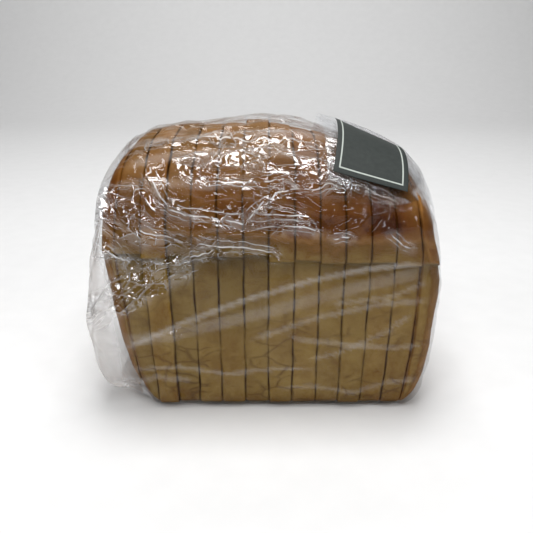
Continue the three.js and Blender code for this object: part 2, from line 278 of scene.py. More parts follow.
def make_slice(i, materials):
    """Slice i as one closed mesh: crust round it, crumb or end crust on its faces."""
    cut_left, cut_right = i > 0, i < SLICES - 1
    heel = not (cut_left and cut_right)
    if heel:
        steps = list(1 - np.cos(np.linspace(0, math.pi / 2, 12)))
        steps = steps if cut_right else [1 - s for s in steps[::-1]]
    else:
        steps = [0, 0.02, 0.06, 0.14, 0.25, 0.37, 0.5, 0.63, 0.75, 0.86, 0.94, 0.98, 1]
    rings = [loaf_ring(i, t) for t in steps]
    count = len(rings[0])
    lead = [loaf_ring(i, steps[0], reach=r) for r in CAP_REACH[::-1]]
    tail = [loaf_ring(i, steps[-1], reach=r) for r in CAP_REACH]
    all_rings = lead + rings + tail
    p = np.concatenate(all_rings)
    faces, kinds = [], []
    start, end = len(lead), len(lead) + len(rings)
    for r in range(len(all_rings) - 1):
        is_crumb = (r < start and cut_left) or (r >= end - 1 and cut_right)
        for k in range(count):
            a, b = r * count + k, r * count + (k + 1) % count
            faces.append((a, b, b + count, a + count))
            kinds.append(CRUMB if is_crumb else CRUST)
    last = (len(all_rings) - 1) * count
    faces += [tuple(range(count - 1, -1, -1)), tuple(range(last, last + count))]
    kinds += [CRUMB if cut else CRUST for cut in (cut_left, cut_right)]
    obj = make_mesh("bread_" + NAMES[i], p, faces, materials, kinds)
    normals = np.zeros(len(p) * 3, np.float32)
    obj.data.vertices.foreach_get("normal", normals)
    normals = normals.reshape(-1, 3)
    if np.sum((p - p.mean(0)) * normals) < 0:
        obj.data.flip_normals()
        normals = -normals
    ring_of = np.repeat(np.arange(len(all_rings)), count)
    cut_rings = [start] * cut_left + [end - 1] * cut_right
    ends = np.zeros(len(obj.data.edges) * 2, np.int32)
    obj.data.edges.foreach_get("vertices", ends)
    edge_rings = ring_of[ends.reshape(-1, 2)]
    sharp = (edge_rings[:, 0] == edge_rings[:, 1]) & np.isin(edge_rings[:, 0], cut_rings)
    obj.data.attributes.new("sharp_edge", "BOOLEAN", "EDGE").data.foreach_set("value", sharp)
    cut_face = ((ring_of < start) & cut_left) | ((ring_of >= end) & cut_right)
    amount = np.where(cut_face, 0.12, 1.0) * smooth(p[:, 2], 0, 8)
    level = baked(i, p, normals)
    moved = roughen(p, normals, amount)
    obj.data.vertices.foreach_set("co", (moved * MM).ravel())
    obj.data.update()
    point_attribute(obj, "baked", level)
    shade = SHADE[i] * smooth(p[:, 2], 25, 75) * fade(p[:, 2], 88, 104)
    below = RIM - RIM_FALL * p[:, 0] + RIM_STEP[i] - p[:, 2]
    # The lip's shadow is painted into the colour: soft and wide, with a sharp dark line right under it.
    shade = shade + (below > -0.3) * (0.22 * np.exp(-(below / 9) ** 2) + 0.22 * np.exp(-(below / 2.2) ** 2))
    point_attribute(obj, "tone_and_lip_shadow", 1 + 1.6 * TONE[i] - shade + 0.05 * noise(p + 5000, 30))
    # How dark the faces and crust edges are painted at the knife cuts, as shade in the gaps between slices.
    at_edge = np.zeros(len(all_rings))
    body = np.array(steps)
    if cut_left:
        at_edge[:start] = CAP_GAP_SHADE[::-1]
        at_edge[start:end] += np.clip(1 - body / EDGE_SHARE, 0, 1)
    if cut_right:
        at_edge[end:] = CAP_GAP_SHADE
        at_edge[start:end] += np.clip(1 - (1 - body) / EDGE_SHARE, 0, 1)
    point_attribute(obj, "cut", np.clip(np.repeat(at_edge, count), 0, 1))
    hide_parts(NAMES[i])
    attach(obj, "root")
    return obj


NAMES = ["heel_left"] + [f"slice_{i:02d}" for i in range(1, SLICES - 1)] + ["heel_right"]


# ---- materials
class Nodes:
    """A short way to write node trees. Each method adds a node and returns the socket that it gives."""

    def __init__(self, name):
        self.material = bpy.data.materials.new(name)
        self.material.use_nodes = True
        self.tree = self.material.node_tree
        self.tree.nodes.clear()

    def add(self, kind, inputs=None, **props):
        node = self.tree.nodes.new("ShaderNode" + kind)
        for key, value in props.items():
            setattr(node, key, value)
        for key, value in (inputs or {}).items():
            if isinstance(value, bpy.types.NodeSocket):
                self.tree.links.new(value, node.inputs[key])
            else:
                node.inputs[key].default_value = value
        return node

    def math(self, op, a, b=0.0, clamp=False):
        return self.add("Math", {0: a, 1: b}, operation=op, use_clamp=clamp).outputs[0]

    def times(self, a, b):
        return self.math("MULTIPLY", a, b)

    def vector(self, op, a, b):
        return self.add("VectorMath", {0: a, 1: b}, operation=op).outputs[0]

    def scaled(self, vector, amount):
        return self.add("VectorMath", {0: vector, "Scale": amount}, operation="SCALE").outputs[0]

    def mix(self, amount, a, b):
        """Colour a turning into colour b, a triple, as amount goes from 0 to 1."""
        return self.add("Mix", {0: amount, 6: a, 7: (*b, 1)}, data_type="RGBA").outputs[2]

    def ramp(self, amount, stops):
        node = self.add("ValToRGB", {"Fac": amount})
        elements = node.color_ramp.elements
        while len(elements) < len(stops):
            elements.new(0.5)
        for element, (at, colour) in zip(elements, stops):
            element.position = at
            element.color = (*colour, 1)
        return node.outputs["Color"]

    def range(self, value, a, b, c, d):
        """Value taken from the range a to b into the range c to d, and held there."""
        return self.add("MapRange", {"Value": value, "From Min": a, "From Max": b,
                                     "To Min": c, "To Max": d}).outputs["Result"]

    def noise(self, vector, scale, detail=3.0, rough=0.5, distortion=0.0, output="Fac"):
        return self.add("TexNoise", {"Vector": vector, "Scale": scale, "Detail": detail, "Roughness": rough,
                                     "Distortion": distortion}).outputs[output]

    def cells(self, vector, scale, feature="F1", output="Distance", dimensions="3D"):
        return self.add("TexVoronoi", {"Vector": vector, "Scale": scale}, feature=feature,
                        voronoi_dimensions=dimensions).outputs[output]

    def object_place(self):
        return self.add("TexCoord").outputs["Object"]

    def place(self, scale=(1, 1, 1)):
        return self.add("Mapping", {"Vector": self.object_place(), "Scale": scale}).outputs["Vector"]

    def attribute(self, name):
        return self.add("Attribute", attribute_name=name, attribute_type="GEOMETRY").outputs["Fac"]

    def bump(self, height, distance, strength, **normal):
        return self.add("Bump", {"Height": height, "Distance": distance, "Strength": strength,
                                 **normal}).outputs["Normal"]

    def surface(self, colour, roughness, normal, specular=0.5, metallic=0.0):
        return self.add("BsdfPrincipled", {
            "Base Color": colour, "Roughness": roughness, "Normal": normal,
            "Specular IOR Level": specular, "Metallic": metallic}).outputs["BSDF"]

    def output(self, shader):
        self.add("OutputMaterial", {"Surface": shader})
        return self.material


CRUST_COLOURS = [  # from the pale side to the darkest shoulder, by the level "baked"
    (0.0, (0.256, 0.166, 0.050)),
    (0.14, (0.208, 0.124, 0.032)),
    (0.30, (0.150, 0.070, 0.012)),
    (0.48, (0.230, 0.110, 0.028)),
    (0.66, (0.170, 0.068, 0.012)),
    (0.85, (0.128, 0.040, 0.005)),
    (1.0, (0.055, 0.014, 0.003)),
]
PIT_COLOUR = (0.07, 0.035, 0.012)
CRACK_COLOUR = (0.085, 0.038, 0.010)
TORN_EDGE_AND_GAP_SHADE_COLOUR = (0.040, 0.016, 0.005)
CRUMB_RIM_GAP_SHADE_COLOUR = (0.085, 0.036, 0.010)


def crust_material():
    n = Nodes("bread_crust")
    at = n.place()
    mottle = n.range(n.noise(at, 85, 6, 0.72), 0.3, 0.7, -0.13, 0.13)
    speck = n.range(n.noise(at, 900, 2, 0.5), 0.35, 0.65, -0.03, 0.03)
    level = n.math("ADD", n.math("ADD", n.attribute("baked"), mottle), speck)
    colour = n.ramp(level, CRUST_COLOURS)
    # Small pits, in patches.
    pit = n.range(n.cells(at, 620.0), 0.0, 0.22, 1.0, 0.0)
    pits = n.times(pit, n.range(n.noise(at, 240, 2, 0.5), 0.56, 0.66, 0.0, 1.0))
    colour = n.mix(n.times(pits, 0.5), colour, PIT_COLOUR)
    # Fine cracks, mostly near the foot of the side.
    height_up = n.add("SeparateXYZ", {"Vector": n.object_place()}).outputs["Z"]
    bent = n.vector("ADD", n.place((55, 55, 120)), n.noise(at, 55.0, output="Color"))
    crack = n.range(n.cells(bent, 1.0, "DISTANCE_TO_EDGE"), 0.0, 0.08, 1.0, 0.0)
    crack = n.times(crack, n.range(height_up, 0.020, 0.060, 0.7, 0.25))
    crack = n.times(crack, n.range(n.noise(at, 60, 3, 0.6), 0.46, 0.56, 0.0, 1.0))
    colour = n.mix(crack, colour, CRACK_COLOUR)
    # A ragged dark edge along the knife cuts: partly the torn crust's own darker edge, partly painted shade
    # in the gap between slices.
    cut = n.attribute("cut")
    ragged = n.range(n.noise(n.place((90, 90, 160)), 1.0, 4, 0.6), 0.35, 0.62, 0.2, 1.0)
    colour = n.mix(n.times(n.times(cut, ragged), 0.85), colour, TORN_EDGE_AND_GAP_SHADE_COLOUR)
    # The slice's tone also carries the painted shadow under the lip.
    colour = n.scaled(colour, n.attribute("tone_and_lip_shadow"))
    wrinkle = n.noise(n.place((260, 260, 700)), 1.0, 4, 0.6, 0.6)
    height = n.math("ADD", n.times(n.noise(at, 1500, 3, 0.6), 0.25), n.times(wrinkle, 0.35))
    height = n.math("SUBTRACT", height, n.times(pits, 0.8))
    return n.output(n.surface(colour, n.range(level, 0.2, 0.8, 0.78, 0.5), n.bump(height, 0.0005, 0.3),
                              specular=n.range(cut, 0.0, 0.4, 0.12, 0.0)))


def crumb_material():
    n = Nodes("bread_crumb")
    at = n.place()
    hole = n.range(n.times(n.cells(at, 420.0), n.noise(at, 260, 4, 0.65)), 0.05, 0.22, 1.0, 0.0)
    colour = n.ramp(hole, [(0.0, (0.42, 0.33, 0.20)), (1.0, (0.20, 0.135, 0.07))])
    # The crumb's rim is painted dark as shade in the gap between slices.
    colour = n.mix(n.attribute("cut"), colour, CRUMB_RIM_GAP_SHADE_COLOUR)
    return n.output(n.surface(colour, 0.9, n.bump(n.times(hole, -1.0), 0.0008, 0.8), specular=0.0))


def floor_material():
    n = Nodes("floor")
    grain = n.range(n.noise(n.place(), 60, 3, 0.5), 0.3, 0.7, 0.74, 0.76)
    colour = n.add("CombineColor", {"Red": grain, "Green": grain, "Blue": grain}).outputs["Color"]
    return n.output(n.add("BsdfPrincipled", {"Base Color": colour, "Roughness": 0.9,
                                             "Specular IOR Level": 0.1}).outputs["BSDF"])


# ---- camera, light and floor
def make_camera():
    elevation = math.radians(21.14)
    distance = 0.3485
    look = Vector((-0.00115, 0.0, 0.0597))
    back = Vector((0, -math.cos(elevation), math.sin(elevation)))
    data = bpy.data.cameras.new("camera")
    data.sensor_width, data.lens = 36.0, 41.07
    data.clip_start, data.clip_end = 0.01, 50
    camera = new_object("camera", data)
    camera.location = look + distance * back
    camera.rotation_euler = (-back).to_track_quat("-Z", "Y").to_euler()
    bpy.context.scene.camera = camera


def area_light(name, place, aim, size, power):
    data = bpy.data.lights.new(name, "AREA")
    data.shape, data.size, data.size_y = "RECTANGLE", size[0], size[1]
    data.energy = power
    light = new_object(name, data)
    light.location = place
    light.rotation_euler = (Vector(aim) - Vector(place)).to_track_quat("-Z", "Y").to_euler()


# Small lights round the front that give the film its glints: degrees to the right of the camera's side,
# degrees above the floor, watts.
SPARKLES = ((-30, 58, 1.2), (20, 50, 1.2), (-64, 42, 1.1), (58, 66, 1.1), (-4, 72, 1.2), (-14, 30, 1.1),
            (42, 36, 1.0), (-40, 15, 0.9), (6, 17, 0.9), (36, 8, 0.7))
SPARKLE_FAR, SPARKLE_SIZE = 1.15, 0.17
WORLD_STRENGTH = 0.78


def make_stage():
    # The floor ends in a half oval at the front, and curves up to a wall at the back.
    wide, front, back, bend, high = 1.2, 0.85, 1.6, 0.6, 2.6
    turns = np.linspace(0.02, math.pi / 2, 24)
    rows = [(-front * math.cos(a), 0.0, wide * math.sin(a)) for a in turns]
    rows += [(y, 0.0, wide) for y in (0.4, back - bend)]
    rows += [(back - bend + bend * math.sin(a), bend - bend * math.cos(a), wide) for a in turns]
    rows.append((back, high, wide))
    verts = [(x * 1000, y * 1000, z * 1000) for y, z, half in rows for x in (-half, half)]
    faces = [(2 * k, 2 * k + 1, 2 * k + 3, 2 * k + 2) for k in range(len(rows) - 1)]
    floor = make_mesh("floor", verts, faces, [floor_material()])
    world = bpy.data.worlds.new("studio")
    world.use_nodes = True
    background = world.node_tree.nodes["Background"]
    background.inputs["Color"].default_value = (1, 1, 1, 1)
    background.inputs["Strength"].default_value = WORLD_STRENGTH
    # The world is only what the camera sees past the floor. It lights nothing.
    world.cycles_visibility.diffuse = False
    world.cycles_visibility.glossy = False
    bpy.context.scene.world = world
    area_light("overhead", (0.0, 0.05, 1.1), (0, 0, 0.05), (0.55, 0.4), 9.5)
    area_light("backdrop", (0, 0.7, 1.2), (0, 1.6, 0.3), (1.6, 0.3), 9)
    for k, (turn, lift, power) in enumerate(SPARKLES):
        a, e = math.radians(turn), math.radians(lift)
        way = Vector((math.sin(a) * math.cos(e), -math.cos(a) * math.cos(e), math.sin(e)))
        area_light(f"sparkle_{k}", SPARKLE_FAR * way, (0, 0, 0.09), (SPARKLE_SIZE, SPARKLE_SIZE), power)
    bpy.context.scene.view_settings.view_transform = "Standard"


# ---- the film bag's first shape
BAG_LEFT = np.array([(0, 70), (6, 80), (12, 87), (24, 90.5), (42, 91.5), (60, 90), (76, 88), (88, 84.5),
                     (112, 79), (128, 76.3), (146, 70.8)], float)
BAG_RIGHT = np.array([(0, 77.5), (12, 82), (28, 84.5), (45, 85), (72, 85.5), (88, 83.5), (114, 77.5),
                      (128, 73.5), (146, 69)], float)
NECK = np.array([86.5, 0.0, 60.0])
BAG_ROUND = {-1: 7.0, 1: 12.0}
COLUMNS = 288
ROUNDS = 240


def top_slack(x):
    return 6.2 * np.exp(-((x - 10) / 46) ** 2)


def bag_end(side, z):
    return np.interp(z, *(BAG_LEFT if side < 0 else BAG_RIGHT).T)


def bag_outline(x, slack):
    """Closed cross-section of the bag at x, COLUMNS points evenly spaced, from the middle of the base."""
    y, z = section(RIM - RIM_FALL * x, top_height(x) + top_slack(x), lip_out=0.8, under=0.0)
    out = np.stack([y, z], 1)
    middle = np.array([0, MIDDLE])
    direction = (out - middle) / norm(out - middle, axis=1)[:, None]
    out = out + direction * slack
    out[:, 1] = np.maximum(out[:, 1], 0.12)
    closed = np.vstack([out, out[:1]])
    run = run_along(closed)
    at = np.linspace(0, run[-1], COLUMNS, endpoint=False)
    return np.stack([np.interp(at, run, closed[:, 0]), np.interp(at, run, closed[:, 1])], 1)


def bag_end_ring(side, degrees, reach=1.0):
    """Ring of the bag's rounded end: 90 degrees where it meets the side, 0 at the end's flat, and from
    there drawn in to the neck by reach."""
    turn = math.radians(degrees)
    inset, back = BAG_ROUND[side] * (1 - math.sin(turn)), BAG_ROUND[side] * (1 - math.cos(turn))
    outline = bag_outline(side * (bag_end(side, MIDDLE) - back), 1.2)
    y = outline[:, 0] * (1 - inset / HALF_BULGE)
    z = MIDDLE + (outline[:, 1] - MIDDLE) * (1 - inset / MIDDLE)
    if side > 0:
        y = NECK[1] + (y - NECK[1]) * reach
        z = NECK[2] + (z - NECK[2]) * reach
    x = side * (bag_end(side, z) - back)
    return np.stack([x, y, np.maximum(z, 0.12)], 1)


def even_rings(rings, step):
    """Rings of equal length put at even steps along the way they go."""
    rings = np.array(rings)
    gaps = norm(np.diff(rings, axis=0), axis=2)
    run = np.concatenate([[0], np.cumsum(np.percentile(gaps, 70, axis=1))])
    count = int(run[-1] / step) + 1
    at = np.linspace(0, run[-1], count)
    k = np.clip(np.searchsorted(run, at, side="right") - 1, 0, len(run) - 2)
    w = ((at - run[k]) / (run[k + 1] - run[k]))[:, None, None]
    return rings[k] * (1 - w) + rings[k + 1] * w


# The tail's middle line from the neck up over the top: x and z, the film's outward way, the tail's half
# width and its thickness.
TAIL_PATH = [
    (88.4, 62.5, 0.8, -0.6, 6.5, 2.6), (89.0, 69.0, 1.0, 0.0, 9.0, 2.2),
    (88.6, 78.0, 1.0, 0.0, 13, 1.8), (87.4, 88.0, 1.0, 0.03, 18, 1.5),
    (86.2, 96.0, 1.0, 0.08, 24, 1.4), (83.6, 104.0, 0.97, 0.25, 34, 1.3),
    (80.6, 112.0, 0.92, 0.38, 44, 1.2), (76.6, 120.5, 0.82, 0.57, 52, 1.1),
    (70.8, 127.0, 0.55, 0.83, 56.5, 1.1), (62.5, 131.4, 0.4, 0.92, 58, 1.2),
    (54.0, 135.2, 0.34, 0.94, 58, 1.4), (45.0, 138.3, 0.3, 0.95, 57, 1.6),
    (36.0, 141.0, 0.22, 0.97, 56, 1.8), (31.0, 142.4, 0.15, 0.99, 55, 2.0),
    (27.0, 143.4, 0.1, 0.99, 54, 2.0),
]


def first_bag(step):
    """The smooth bag: sealed at the left, gathered to a neck at the right, its tail up over the top."""
    seal = bag_end_ring(-1, 0)
    z = 4 + (seal[:, 2] - seal[:, 2].min()) / np.ptp(seal[:, 2]) * 92
    seal = np.stack([-(86.5 + 4.5 * np.sin(np.pi * z / 100)), np.full(COLUMNS, -13.0), z], 1)
    rings = [seal]
    rings += [seal * (1 - reach) + bag_end_ring(-1, 0) * reach for reach in (0.35, 0.7)]
    rings += [bag_end_ring(-1, degrees) for degrees in (0, 22, 45, 68, 90)]
    for x in np.linspace(-58, 60, 30):
        outline = bag_outline(x, 1.2)
        rings.append(np.stack([np.full(COLUMNS, x), outline[:, 0], outline[:, 1]], 1))
    rings += [bag_end_ring(1, degrees) for degrees in (90, 68, 45, 22, 0)]
    rings += [bag_end_ring(1, 0, reach) for reach in (0.8, 0.6, 0.42, 0.28, 0.18, 0.12)]
    # The neck turns up and the tail flattens over the end and the top.
    around = np.linspace(0, 2 * math.pi, COLUMNS, endpoint=False)
    for x, z, nx, nz, half, thick in TAIL_PATH:
        y = half * np.sin(around)
        out = thick * 0.5 * np.cos(around)
        top = max(z, 100)
        flat = np.clip(1 - np.power(np.abs(y) / 60.5, DOME), 0, 1)
        fall = (top - BULGE_Z) * (1 - np.power(flat, 1 / DOME)) * smooth(z, 96, 118)
        corner = 13 * np.power(np.abs(y) / 58, 3.5) * smooth(x, 50, 78)
        rings.append(np.stack([x + nx * out - corner, y, z + nz * out - fall], 1))
    return even_rings(rings, step)


# ---- distance to the bread
# Stands for the distance deep inside the loaf, where it isn't worked out.
DEEP_INSIDE = -12


class BreadDistance:
    """Signed distance to the loaf's outer surface on a grid, and the way out of it."""

    def __init__(self, objects, step=3.0):
        verts, faces = [], []
        for o in objects:
            base = len(verts)
            verts += [tuple(np.array(v.co) / MM) for v in o.data.vertices]
            faces += [tuple(base + k for k in f.vertices) for f in o.data.polygons
                      if len(f.vertices) == 4 and f.material_index == CRUST]
        tree = BVHTree.FromPolygons(verts, faces)
        self.low = np.array([-99.0, -69.0, -6.0])
        self.step = step
        self.shape = np.array([67, 47, 56])
        self.distance = np.zeros(self.shape, np.float32)
        centre = Vector((0.0, 0.0, 64.0))
        for cell in np.ndindex(*self.shape):
            x, y, z = self.low + step * np.array(cell)
            if abs(x) < 60 and abs(y) < 42 and 12 < z < 112:
                self.distance[cell] = DEEP_INSIDE
                continue
            hit, _, _, far = tree.find_nearest((x, y, z))
            is_out = (Vector((x, y, z)) - hit).dot(hit - centre) > 0
            self.distance[cell] = far if is_out else -far
        self.slope = np.stack(np.gradient(self.distance, step), -1).astype(np.float32)

    def sample(self, p):
        q = (p - self.low) / self.step
        cell = np.clip(np.floor(q).astype(int), 0, self.shape - 2)
        f = np.clip(q - cell, 0, 1)
        total, way = 0.0, 0.0
        for dx, dy, dz in CORNERS:
            w = ((f[:, 0] if dx else 1 - f[:, 0]) * (f[:, 1] if dy else 1 - f[:, 1])
                 * (f[:, 2] if dz else 1 - f[:, 2]))
            index = (cell[:, 0] + dx, cell[:, 1] + dy, cell[:, 2] + dz)
            total = total + w * self.distance[index]
            way = way + w[:, None] * self.slope[index]
        way = way / np.maximum(norm(way, axis=1), 1e-6)[:, None]
        return total, way


# ---- crumpling the film
def pull(a, b, rest, stiffness):
    """Moves two arrays of points towards their rest distance, half each."""
    d = b - a
    length = np.sqrt(np.einsum("...k,...k->...", d, d)) + 1e-9
    move = (0.5 * stiffness * (length - rest) / length)[..., None] * d
    a += move
    b -= move


# In each round: the share of its speed a point keeps, how far it is shaken and sinks, how far off the bread
# it must be to be drawn to it and how strongly, and the least it stands off the bread, in mm.
SPEED_KEPT, SHAKE, SINK = 0.86, 0.04, 0.0015
CLING_FROM, CLING = 0.8, 0.01
LEAST_GAP, LEAST_HEIGHT = 0.45, 0.08
STIFF, STIFF_ACROSS = 0.9, 0.5


def crumple(p, grow_u, grow_v, bread, rounds, hold):
    """Lets film that is larger than its first shape settle into wrinkles round the bread. grow_u and grow_v
    say how many times longer it is along and around, hold how firmly each ring stays where it starts."""
    p = p.astype(np.float32)
    rows, columns = p.shape[:2]
    start = p.copy()

    def length(a, b):
        return norm(b - a, axis=-1).astype(np.float32)

    around = np.roll(p, -1, axis=1)
    rest_u = length(p[:-1], p[1:]) * 0.5 * (grow_u[:-1] + grow_u[1:])
    rest_v = length(p, around) * 0.5 * (grow_v + np.roll(grow_v, -1, axis=1))
    grow_d = 0.5 * (grow_u + grow_v)
    rest_d = length(p[:-1], around[1:]) * grow_d[:-1]
    rest_e = length(around[:-1], p[1:]) * grow_d[:-1]
    rest_u, rest_v, rest_d, rest_e = (r.astype(np.float32) for r in (rest_u, rest_v, rest_d, rest_e))
    before = p.copy()
    taut = (smooth(np.abs(p[..., 1]), 42, 50) * fade(p[..., 2], 88, 100)
            * fade(np.abs(p[..., 0]), 70, 78)).astype(np.float32)
    for step in range(rounds):
        heat = max(0.0, 1 - step / (0.6 * rounds))
        speed = (p - before) * np.float32(SPEED_KEPT)
        before = p.copy()
        p += speed
        if heat > 0:
            p += rng.standard_normal(p.shape, np.float32) * np.float32(SHAKE * heat)
        p[..., 2] -= np.float32(SINK)
        far, way = bread.sample(p.reshape(-1, 3))
        far, way = far.reshape(rows, columns), way.reshape(p.shape)
        cling = np.clip(far - CLING_FROM, 0, 6) * np.float32(CLING) * taut
        seen = p.copy()
        p -= way * cling[..., None]
        for _ in range(2):
            for s in (0, 1):
                m = (rows - s) // 2
                pull(p[s:s + 2 * m:2], p[s + 1:s + 2 * m:2], rest_u[s::2][:m], np.float32(STIFF))
            for s in (0, 1):
                a, b = p[:, s::2].copy(), np.roll(p, -1, axis=1)[:, s::2].copy()
                pull(a, b, rest_v[:, s::2], np.float32(STIFF))
                p[:, s::2] = a
                p[:, 1 - s::2] = b if s == 0 else np.roll(b, 1, axis=1)
            for s in (0, 1):
                m = (rows - s) // 2
                lower, upper = p[s:s + 2 * m:2], p[s + 1:s + 2 * m:2]
                rolled = np.roll(upper, -1, axis=1)
                pull(lower, rolled, rest_d[s::2][:m], np.float32(STIFF_ACROSS))
                upper[:] = np.roll(rolled, 1, axis=1)
                rolled = np.roll(lower, -1, axis=1)
                pull(rolled, upper, rest_e[s::2][:m], np.float32(STIFF_ACROSS))
                lower[:] = np.roll(rolled, 1, axis=1)
            now = far + np.einsum("...k,...k->...", p - seen, way)
            p += way * np.clip(np.float32(LEAST_GAP) - now, 0, 3)[..., None]
            np.maximum(p[..., 2], np.float32(LEAST_HEIGHT), out=p[..., 2])
        # The seal joins front and back, and the held rings stay where they were.
        other = p[0][(-np.arange(columns)) % columns]
        p[0] = 0.5 * (p[0] + other)
        p += hold[:, None, None] * (start - p)
    return p


# ---- where the film is creased
# Each fold is a line of points on the bag, how wide it is, how much longer the film is there along the
# bag and round it, and how crinkled it is.
FOLDS = [
    # crumpled runs over the left of the front
    ([(-85, -52, 58), (-67, -57, 72), (-56, -57, 79), (-44, -58, 84)], 8, 1.17, 1.17, 1.0),
    ([(-44, -58, 84), (-36, -59, 91), (-25, -60, 94)], 5, 1.10, 1.12, 0.7),
    ([(-76, -58, 95), (-70, -59, 90), (-66, -58, 84)], 5, 1.12, 1.12, 0.7),
    ([(-74, -56, 113), (-68, -59, 108), (-59, -60, 105)], 8, 1.18, 1.18, 1.0),
    ([(-59, -60, 105), (-51, -60, 102), (-43, -60, 98)], 4.5, 1.08, 1.2, 0.7),
    ([(-73, -53, 118), (-61, -54, 119), (-54, -58, 114)], 6, 1.08, 1.1, 0.5),
    # the crease that comes down from the top and turns along the shoulder
    ([(-54, -46, 128), (-52, -52, 123), (-49, -56, 118), (-46, -58, 112)], 3.2, 1.3, 1.05, 0.5),
    ([(-46, -58, 112), (-36, -59, 110), (-22, -59, 108), (-11, -60, 107)], 4.0, 1.04, 1.34, 0.75),
    ([(-11, -60, 107), (-3, -58, 114), (3, -56, 120), (15, -55, 122), (34, -53, 122)],
     3.6, 1.05, 1.34, 0.7),
    ([(34, -53, 122), (46, -54, 118), (59, -56, 113)], 3.0, 1.02, 1.10, 0.06),
    # runs between the shoulder and the rim
    ([(-34, -60, 97), (-20, -60, 95), (-9, -60, 94), (3, -60, 92)], 3.0, 1.04, 1.22, 0.6),
    ([(-9, -60, 105), (3, -60, 105), (14, -60, 105), (22, -60, 103)], 3.0, 1.03, 1.24, 0.65),
    ([(-7, -59, 110), (5, -59, 109), (16, -59, 108)], 2.4, 1.03, 1.2, 0.5),
    # crumpled film on the top
    ([(-36, -46, 129), (-14, -44, 132), (9, -48, 131), (21, -49, 128), (30, -51, 126)],
     6.5, 1.12, 1.17, 0.8),
    ([(-29, -53, 123), (-4, -54, 123), (14, -54, 124)], 4.0, 1.05, 1.2, 0.5),
    ([(-33, -27, 139), (-14, -32, 139), (5, -35, 138), (31, -39, 135)], 5, 1.06, 1.18, 0.5),
    ([(-64, -33, 132), (-57, -33, 135), (-45, -30, 137)], 6, 1.06, 1.08, 0.3),
    ([(-60, 5, 139), (-20, 8, 141), (20, 0, 146)], 7, 1.04, 1.14, 0.3),
    # small puckers over the dark shoulder
    ([(30, -60, 100), (37, -60, 100)], 3, 1.1, 1.1, 0.6),
    ([(56, -60, 101), (61, -60, 96), (66, -59, 94)], 3.0, 1.07, 1.07, 0.4),
    # the other side and the ends
    ([(-70, 50, 108), (-30, 58, 98), (20, 58, 104)], 7, 1.08, 1.2, 0.7),
    ([(-10, 46, 130), (40, 50, 120), (66, 52, 104)], 7, 1.08, 1.18, 0.7),
    ([(-60, 56, 60), (-20, 56, 78), (10, 57, 86)], 6, 1.06, 1.14, 0.5),
    ([(-84, -25, 30), (-86, 0, 60), (-84, 20, 95)], 12, 1.08, 1.08, 0.5),
    ([(85, -30, 50), (85, 0, 70), (85, 35, 48)], 12, 1.05, 1.07, 0.5),
]

# Pleats and milky bands of flat film, and bands on the top that are painted glare of the overhead light:
# lines of points, width and strength of their haze.
PLEATS_AND_GLARE_BANDS = [
    ([(75, -59, 84), (48, -58, 81), (19, -57, 74), (-10, -57, 65), (-44, -57, 51), (-79, -54, 33)],
     1.5, 0.35),
    ([(76, -58, 80), (40, -57, 70), (0, -57, 58), (-50, -56, 44), (-80, -54, 40)], 3.6, 0.16),
    ([(77, -57, 64), (54, -57, 62), (25, -57, 55), (-9, -56, 42)], 1.6, 0.22),
    ([(-75, -55, 24), (-46, -55, 26), (-22, -55, 22), (6, -55, 25), (22, -55, 25)], 1.2, 0.22),
    ([(78, -55, 39), (61, -56, 37), (40, -56, 39), (15, -56, 42), (8, -56, 46)], 1.5, 0.18),
    ([(77, -54, 18), (62, -55, 17), (44, -54, 10), (22, -54, 14), (6, -55, 13)], 1.4, 0.18),
    ([(76, -57, 74), (60, -57, 66), (30, -57, 62)], 1.2, 0.22),
    ([(70, -56, 56), (58, -56, 46), (34, -56, 34), (20, -55, 30)], 1.3, 0.18),
    ([(-72, -54, 14), (-58, -55, 20), (-40, -55, 18)], 1.8, 0.2),
    ([(69, -52, 120), (76, -48, 110), (80, -46, 98)], 5.0, 0.35),
    # Bands on the top: painted reflection of the overhead light, as soft glare on the film.
    ([(-66, -42, 127), (-40, -42, 132), (0, -42, 134), (28, -45, 131)], 3.2, 0.22),
    ([(-62, -30, 134), (-30, -28, 139), (4, -28, 140), (30, -30, 139)], 2.4, 0.25),
    ([(-70, -50, 118), (-52, -52, 121), (-30, -54, 120), (-4, -54, 121)], 2.6, 0.2),
]
FACING = np.array([0.0, -0.93, 0.36])


def line_distance(p, line):
    """Distance to a line of points, the share of the way along it and the way across it. Lines on the near
    side count as drawn on the film square to FACING."""
    line = np.asarray(line, float)
    away = np.zeros(p.shape[:-1])
    if line[:, 1].max() < -20:
        away = 200.0 * (p @ FACING - MIDDLE * FACING[2] < 12)
        p = p - (p @ FACING)[..., None] * FACING
        line = line - (line @ FACING)[:, None] * FACING
    best = np.full(p.shape[:-1], 1e9)
    along, across = np.zeros(p.shape[:-1]), np.zeros(p.shape[:-1])
    run = run_along(line)
    for k in range(len(line) - 1):
        a, d = line[k], line[k + 1] - line[k]
        t = np.clip(((p - a) @ d) / (d @ d), 0, 1)
        off = p - a - t[..., None] * d
        far = norm(off, axis=-1)
        outward = FACING if away.any() else np.array([0, a[1], a[2] - MIDDLE])
        side = np.cross(outward, d)
        side = side / norm(side)
        closer = far < best
        best = np.where(closer, far, best)
        along = np.where(closer, (run[k] + t * (run[k + 1] - run[k])) / run[-1], along)
        across = np.where(closer, off @ side, across)
    return best + away, along, across


